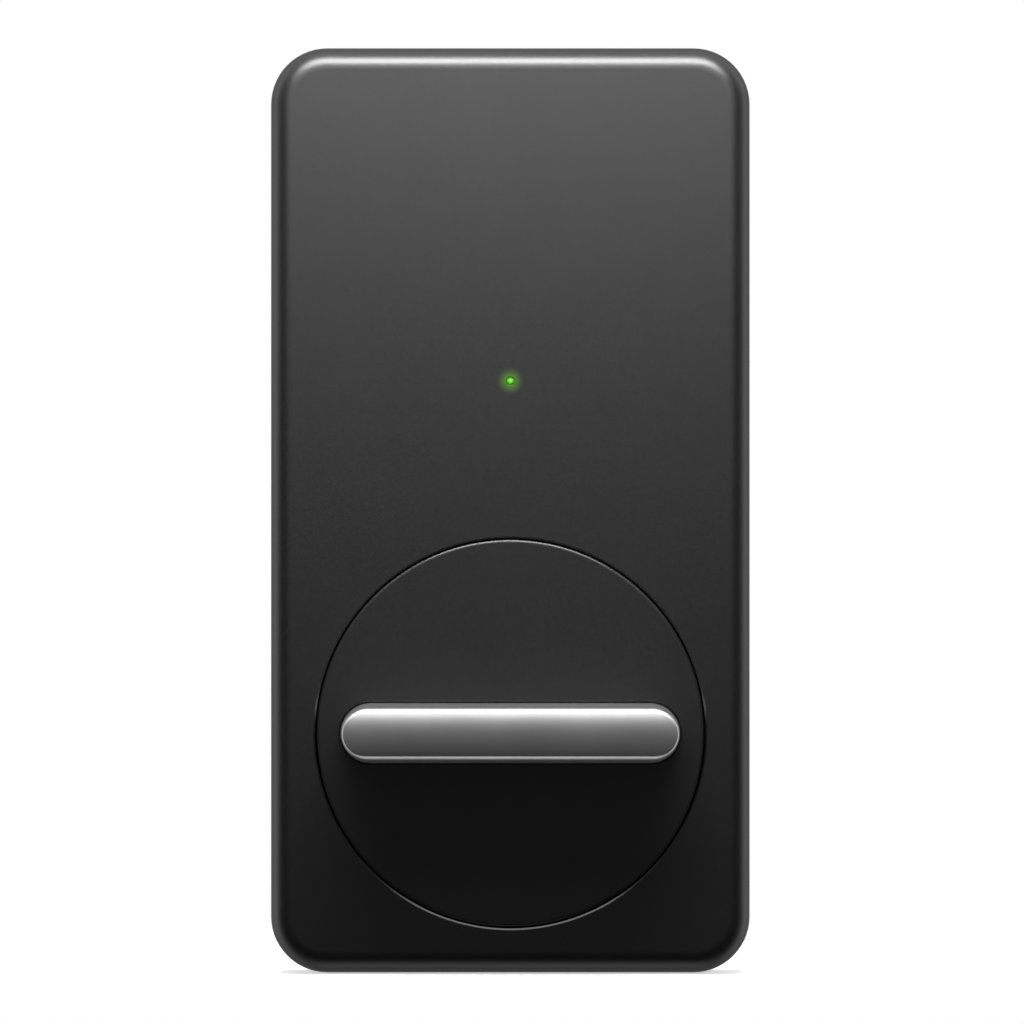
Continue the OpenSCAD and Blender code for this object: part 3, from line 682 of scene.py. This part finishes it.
def build_housing(material):
    """Rear shell: plain walls, a recessed back and the round well over the thumb-turn."""
    bm = bmesh.new()
    panel_front_y = REAR_PANEL_Y - REAR_PANEL_T
    rim_lead = 0.1 * MM
    sides = [(WALL + STRIP, panel_front_y), (WALL, panel_front_y - STRIP)]
    sides += [(WALL, HOUSING_FRONT_Y + SHELL_RIM), (WALL - SHELL_RIM, HOUSING_FRONT_Y)]
    sides += [(SHELL_RIM, HOUSING_FRONT_Y), (0, HOUSING_FRONT_Y + SHELL_RIM)]
    sides += [(0, HOUSING_BACK_Y - REAR_EDGE_R - STRIP)]
    sides += [(inset, HOUSING_BACK_Y - drop) for inset, drop in arc_steps(REAR_EDGE_R)]
    sides += [(WALL - rim_lead, HOUSING_BACK_Y), (WALL, HOUSING_BACK_Y - rim_lead)]
    sides += [(WALL, REAR_PANEL_Y + STRIP), (WALL + STRIP, REAR_PANEL_Y)]
    rings = [ring(bm, body_outline(inset), y) for inset, y in sides]
    front_loop, back_loop = loft(bm, rings)
    collar_r = WELL_R + WELL_WALL
    well_lead = 0.25 * MM
    well = [(collar_r + STRIP, REAR_PANEL_Y), (collar_r, REAR_PANEL_Y + STRIP)]
    well += [(collar_r, HOUSING_BACK_Y - well_lead), (collar_r - well_lead, HOUSING_BACK_Y)]
    well += [(WELL_R + well_lead, HOUSING_BACK_Y), (WELL_R, HOUSING_BACK_Y - well_lead)]
    well += [(WELL_R, WELL_FRONT_Y), (collar_r, WELL_FRONT_Y)]
    well += [(collar_r, panel_front_y - STRIP), (collar_r + STRIP, panel_front_y)]
    rings = [ring(bm, circle(r, steps=160), y) for r, y in well]
    well_back, well_front = loft(bm, rings)
    fill_flat(bm, back_loop, well_back)
    fill_flat(bm, front_loop, well_front)
    finish_piece(bm, "housing_shell", material, "lock_body", ["housing"])


def build_light_pipe(material):
    """Clear rod with a domed tip."""
    bm = bmesh.new()
    radius = (PIPE_HI.x - PIPE_LO.x) / 2
    dome = 0.25 * MM
    dome_steps = 6
    spans = [(radius, PIPE_HI.y), (radius, PIPE_LO.y + dome)]
    for i in range(1, dome_steps):
        angle = math.radians(90 * i / dome_steps)
        spans.append((radius * math.cos(angle), PIPE_LO.y + dome * (1 - math.sin(angle))))
    rings = [ring(bm, circle(r, (PIPE.x, PIPE.z), steps=32), y) for r, y in spans]
    back_loop, tip_loop = loft(bm, rings)
    fill_flat(bm, back_loop)
    fill_flat(bm, tip_loop)
    finish_piece(bm, "light_pipe_rod", material, "lock_body", ["light_pipe"],
                 sharp_deg=50)


def lathe_along_x(bm, profile, axis, steps=72):
    """Closed turned shape round an axis along x; profile is a list of (x, radius)."""
    rings = []
    for x, radius in profile:
        rings.append([bm.verts.new((x, y, z)) for y, z in circle(radius, axis, steps)])
    first, last = loft(bm, rings)
    bm.faces.new(first)
    bm.faces.new(last)


def film_profile(half, radius):
    """(x, radius) of a cell's film, with the cap at +x: the can's ends and its crimped neck."""
    shoulder = half - CELL_CAP_T
    opening = radius * FILM_OPENING
    edge_x, edge_drop = CELL_EDGE_MID
    base = -half + FILM_INSET
    neck = shoulder - NECK_AT
    neck_r = radius - NECK_DEPTH
    neck_mouth = NECK_HALF_W + NECK_SLOPE
    film = [(base + FILM_LIP, opening), (base, radius - CELL_EDGE_R)]
    film += [(-half + edge_x, radius - edge_drop), (-half + CELL_EDGE_R, radius)]
    film += [(neck - neck_mouth, radius), (neck - NECK_HALF_W, neck_r)]
    film += [(neck + NECK_HALF_W, neck_r), (neck + neck_mouth, radius)]
    film += [(shoulder - CELL_EDGE_R, radius), (shoulder - edge_x, radius - edge_drop)]
    film += [(shoulder, radius - CELL_EDGE_R), (shoulder - FILM_LIP, opening)]
    return film


def cap_profile(half, radius):
    """(x, radius) of a cell's cap end: from under the film, over a dished ring, to the cap."""
    shoulder = half - CELL_CAP_T
    hidden = 1.0 * MM
    proud = 0.02 * MM
    dish = 0.15 * MM
    dish_r = radius * 0.5
    fillet = 0.15 * MM
    bevel = 0.2 * MM
    cap = [(shoulder - hidden, radius * STEEL_HIDDEN), (shoulder + proud, radius * STEEL_RIM)]
    cap += [(shoulder - dish, dish_r), (shoulder, CELL_CAP_R + fillet)]
    cap += [(half - fillet, CELL_CAP_R), (half, CELL_CAP_R - bevel)]
    return cap


def base_profile(half, radius):
    """(x, radius) of a cell's flat end, from under the film inwards."""
    hidden = 0.8 * MM
    inner_r = radius * 0.3
    return [(-half + hidden, radius * STEEL_HIDDEN), (-half, radius * STEEL_RIM), (-half, inner_r)]


def build_cell(name, node, side, wrap, steel):
    """Lithium cell with its cap towards side: a film-wrapped can and its bare steel ends."""
    lo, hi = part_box(node)
    radius = (hi.z - lo.z) / 2
    axis = ((lo.y + hi.y) / 2, (lo.z + hi.z) / 2)
    middle = (lo.x + hi.x) / 2
    half = (hi.x - lo.x) / 2

    def turn(bm, profile):
        """Adds a turned shape, with +x of its profile towards side."""
        lathe_along_x(bm, [(middle + side * x, r) for x, r in profile], axis)

    bm = bmesh.new()
    turn(bm, film_profile(half, radius))
    finish_piece(bm, name + "_film", wrap, "lock_body", [node], sharp_deg=70)
    bm = bmesh.new()
    turn(bm, cap_profile(half, radius))
    turn(bm, base_profile(half, radius))
    finish_piece(bm, name + "_ends", steel, "lock_body", sharp_deg=40)


def build_foam_pad(material):
    """Adhesive foam pad with slightly crushed edges."""
    lo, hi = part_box("adhesive_pad")
    bm = bmesh.new()
    centre = ((lo.x + hi.x) / 2, (lo.z + hi.z) / 2)
    half_w = (hi.x - lo.x) / 2
    half_h = (hi.z - lo.z) / 2
    ease = 0.3 * PAD_CRUSH
    front_ease_y = lo.y + 0.3 * (hi.y - lo.y)
    spans = [(PAD_CRUSH + STRIP, hi.y), (PAD_CRUSH, hi.y), (ease, hi.y - ease)]
    spans += [(0, hi.y - PAD_CRUSH), (0, front_ease_y)]
    spans += [(PAD_CRUSH, lo.y), (PAD_CRUSH + STRIP, lo.y)]
    rings = [ring(bm, rounded_rect(half_w - inset, half_h - inset, PAD_R - inset, centre), y)
             for inset, y in spans]
    back_loop, front_loop = loft(bm, rings)
    fill_flat(bm, back_loop)
    fill_flat(bm, front_loop)
    finish_piece(bm, "foam_pad", material, "lock_body", ["adhesive_pad"], sharp_deg=50)


def repaint(paint, *names, bevel=0.1 * MM):
    """Gives CAD nodes a better material, and softens their sharp edges a little."""
    for name in names:
        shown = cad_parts[name]
        if not shown.material_slots:
            shown.data.materials.append(paint.material)
        for material_slot in shown.material_slots:
            material_slot.material = paint.material
        if bevel:
            modifier = shown.modifiers.new("soft_edges", "BEVEL")
            modifier.width = bevel
            modifier.segments = 2
            modifier.limit_method = "ANGLE"
            modifier.angle_limit = math.radians(SHARP_EDGE_DEG)


def repaint_metal():
    """Materials of the metal CAD nodes that are shown as they are."""
    repaint(brushed_plate("plate_metal", (0.58, 0.59, 0.60)), "mount_plate", bevel=0.15 * MM)
    screws = satin_metal("screw_steel", STEEL, roughness=0.24)
    repaint(screws, "plate_screws", "adaptor_screw", "spindle_screws", "gearbox_screws")
    repaint(screws, "motor_screws", "chassis_screws", "board_screws", "knob_bar_screws")
    repaint(turned_metal("spindle_steel", STEEL), "spindle", bevel=0.2 * MM)
    clip = satin_metal("spring_steel", (0.30, 0.30, 0.32), roughness=0.35)
    repaint(clip, "spindle_clip", bevel=0.05 * MM)
    brass = turned_metal("bush_brass", (0.72, 0.50, 0.22))
    repaint(brass, "rear_bush", "front_bush", "motor_pinion", bevel=0.15 * MM)
    axles = turned_metal("axle_steel", STEEL, roughness=0.2)
    repaint(axles, "gear_axles", "motor_shaft", bevel=0.05 * MM)
    can = satin_metal("motor_steel", (0.50, 0.50, 0.51), roughness=0.32, grain=0.4 * MM)
    repaint(can, "motor", bevel=0.4 * MM)
    contacts = satin_metal("contact_metal", (0.80, 0.66, 0.36), roughness=0.28)
    repaint(contacts, "battery_springs", "battery_contacts", bevel=0.05 * MM)
    nickel = satin_metal("magnet_nickel", (0.70, 0.69, 0.66), roughness=0.15, grain=0.3 * MM)
    repaint(nickel, "cover_magnets", bevel=0.15 * MM)


def repaint_plastic():
    """Materials of the plastic, rubber and felt CAD nodes that are shown as they are."""
    adaptor = moulded_plastic("adaptor_plastic", (0.03, 0.03, 0.032), grain=0.5 * MM, spread=0.4)
    repaint(adaptor, "turn_adaptor", bevel=0.3 * MM)
    rubber = moulded_plastic("soft_rubber", (0.012, 0.012, 0.012), roughness=0.8,
                             grain=0.15 * MM, specular=0.3)
    repaint(rubber, "adaptor_pads", bevel=0.15 * MM)
    gears = moulded_plastic("gear_plastic", (0.66, 0.62, 0.52), roughness=0.35, spread=0.05)
    repaint(gears, "output_gear", "second_gear", "first_gear", bevel=0.05 * MM)
    gearbox = moulded_plastic("gearbox_plastic", (0.05, 0.052, 0.056), roughness=0.55,
                              grain=0.5 * MM, spread=0.4)
    repaint(gearbox, "gearbox_base", "gearbox_cover", bevel=0.2 * MM)
    chassis = moulded_plastic("chassis_plastic", (0.028, 0.029, 0.032), roughness=0.5, grain=0.35 * MM)
    repaint(chassis, "chassis", bevel=0.2 * MM)
    button = moulded_plastic("button_plastic", (0.22, 0.22, 0.215), roughness=0.4, spread=0.04)
    repaint(button, "setup_button", bevel=0.3 * MM)
    repaint(felt("seal_felt", (0.03, 0.03, 0.032)), "dust_seal", bevel=0.2 * MM)


def repaint_electronics():
    """Materials of the circuit board, what sits on it, and the motor's leads."""
    repaint(board_lacquer("board_laminate"), "circuit_board", bevel=0.05 * MM)
    shield = brushed_plate("shield_tin", (0.66, 0.66, 0.64), roughness=0.3)
    repaint(shield, "radio_module", "setup_switch")
    chips = moulded_plastic("chip_plastic", (0.02, 0.02, 0.021), roughness=0.6, grain=0.2 * MM)
    repaint(chips, "control_chip", "driver_chip", "buzzer", bevel=0.08 * MM)
    resin = moulded_plastic("led_resin", (0.75, 0.78, 0.62), roughness=0.3, spread=0.05)
    resin.set(Emission_Color=LIGHT_COLOUR, Emission_Strength=0.6)
    repaint(resin, "status_led")
    leads = moulded_plastic("lead_insulation", (0.35, 0.02, 0.015), roughness=0.4, spread=0.1)
    repaint(leads, "motor_leads", bevel=0.0)


# ------------------------------------------------------------- stage, light, view

def build_stage():
    """Plain pale floor under the object."""
    bm = bmesh.new()
    floor_z = COVER_LO.z - FLOOR_GAP
    bm.faces.new([bm.verts.new((x, y, floor_z)) for x, y in circle(FLOOR_R)])
    mesh = bpy.data.meshes.new("floor")
    bm.to_mesh(mesh)
    bm.free()
    n = Paint("floor_white")
    n.shade(n.noise(FLOOR_CLOUD), FLOOR_DARK, FLOOR_LIGHT, low=0.0, high=1.0)
    n.set(Roughness=0.9, Specular_IOR_Level=0.1)
    n.set(Emission_Color=(1, 1, 1, 1), Emission_Strength=FLOOR_GLOW)
    mesh.materials.append(n.material)
    floor = bpy.data.objects.new("floor", mesh)
    bpy.context.scene.collection.objects.link(floor)
    floor.visible_glossy = False
    floor.visible_diffuse = False
    floor.visible_shadow = False


def softbox(name, place, aim, width, height, level):
    """Rectangular light that a mirror would show as bright as level."""
    light = bpy.data.lights.new(name, "AREA")
    light.shape = "RECTANGLE"
    light.size = width
    light.size_y = height
    light.energy = math.pi * width * height * level
    lamp = bpy.data.objects.new(name, light)
    lamp.location = place
    lamp.rotation_mode = "QUATERNION"
    lamp.rotation_quaternion = (Vector(aim) - Vector(place)).to_track_quat("-Z", "Y")
    lamp.visible_camera = False
    bpy.context.scene.collection.objects.link(lamp)


def lifted_softbox(name, aim, angle, distance, width, height, level):
    """Softbox in front of a point, lifted by an angle in degrees."""
    lift = math.radians(angle)
    place = aim + distance * Vector((0, -math.cos(lift), math.sin(lift)))
    softbox(name, place, aim, width, height, level)


def build_lights():
    """A strip light above the front, a fill, a bounce, and a card that fades downwards."""
    top_z = COVER_HI.z
    edge = Vector((0, FRONT_Y, top_z - KEY_AIM_DOWN))
    lifted_softbox("key", edge, KEY_ANGLE, KEY_FAR, KEY_WIDE, KEY_TALL, KEY_LEVEL)
    front = Vector((0, FRONT_Y, 0))
    lifted_softbox("fill", front, FILL_ANGLE, FILL_FAR, FILL_WIDE, FILL_TALL, FILL_LEVEL)
    lifted_softbox("bounce", front, BOUNCE_ANGLE, FILL_FAR, BOUNCE_SIZE, BOUNCE_SIZE, BOUNCE_LEVEL)
    to_door = Vector((0, 1, 0))
    step = (CARD_OVER + CARD_UNDER + 2 * HALF_H) / CARD_STRIPS
    for i in range(CARD_STRIPS):
        z = top_z + CARD_OVER - step * (i + 0.5)
        level = CARD_BASE + CARD_LEVEL * math.exp((z - top_z) / CARD_FADE)
        place = Vector((0, FRONT_Y - CARD_FAR, z))
        softbox("card_%d" % i, place, place + to_door, CARD_WIDE, step, level)


def build_world():
    """White seen directly. In reflections: bright round the sides, dark in front."""
    world = bpy.data.worlds.new("studio")
    bpy.context.scene.world = world
    world.use_nodes = True
    world.node_tree.nodes.clear()
    n = Nodes(world.node_tree)
    split = n.new("ShaderNodeSeparateXYZ")
    n.link(n.new("ShaderNodeTexCoord").outputs["Generated"], split.inputs["Vector"])
    # The ramp runs from 0 to 1 where y runs from -1 to 1
    along_y = n.math("MULTIPLY_ADD", split.outputs["Y"], 0.5, 0.5)
    sides = n.ramp(along_y, [((y + 1) / 2, level) for y, level in ENV_SIDES])
    slope = n.math("MULTIPLY_ADD", split.outputs["Z"], -ENV_DROP, ENV_LIFT)
    lift = n.math("MULTIPLY_ADD", split.outputs["Z"], slope, 1.0)
    sides = n.math("MULTIPLY", n.math("MULTIPLY", sides, lift), ENV_SIDE)
    total = n.math("ADD", sides, ENV_BASE)
    seen = n.new("ShaderNodeLightPath").outputs["Is Camera Ray"]
    strength = n.math("ADD", n.math("MULTIPLY", total, n.math("SUBTRACT", 1.0, seen)), seen)
    background = n.new("ShaderNodeBackground")
    background.inputs["Color"].default_value = (1, 1, 1, 1)
    n.link(strength, background.inputs["Strength"])
    output = n.new("ShaderNodeOutputWorld")
    n.link(background.outputs["Background"], output.inputs["Surface"])


def build_camera():
    """Long lens straight in front of the body, as level as the photograph."""
    data = bpy.data.cameras.new("camera")
    data.lens = LENS
    data.sensor_width = SENSOR
    distance = VIEW_WIDTH * LENS / SENSOR
    data.clip_start = 0.1
    data.clip_end = distance * 2
    camera = bpy.data.objects.new("camera", data)
    camera.location = Vector((BODY_MIDDLE.x, FRONT_Y - distance, BODY_MIDDLE.z)) + VIEW_SHIFT
    camera.rotation_euler = (math.radians(90), 0, 0)
    bpy.context.scene.collection.objects.link(camera)
    bpy.context.scene.camera = camera


def build_pieces():
    """The pieces that stand for CAD nodes, each with its material."""
    build_cover(cover_paint().material)
    build_disc(moulded_plastic("disc_plastic", FRONT_BLACK, FRONT_ROUGHNESS).material)
    build_bar(satin_metal("bar_metal", (0.44, 0.44, 0.44), roughness=0.33).material)
    build_housing(moulded_plastic("shell_plastic", (0.022, 0.022, 0.0225), roughness=0.5).material)
    build_light_pipe(lit_plastic().material)
    build_foam_pad(foam("pad_foam", (0.10, 0.10, 0.105)).material)
    film = shrink_wrap("cell_wrap", (0.012, 0.035, 0.085)).material
    steel = satin_metal("cell_steel", (0.66, 0.66, 0.66), roughness=0.25, grain=0.25 * MM).material
    build_cell("upper_cell", "battery_upper", 1, film, steel)
    build_cell("lower_cell", "battery_lower", -1, film, steel)


build_camera()
build_stage()
build_world()
build_lights()
build_pieces()
repaint_metal()
repaint_plastic()
repaint_electronics()

scene_view = bpy.context.scene.view_settings
scene_view.view_transform = "Standard"
scene_view.look = "None"
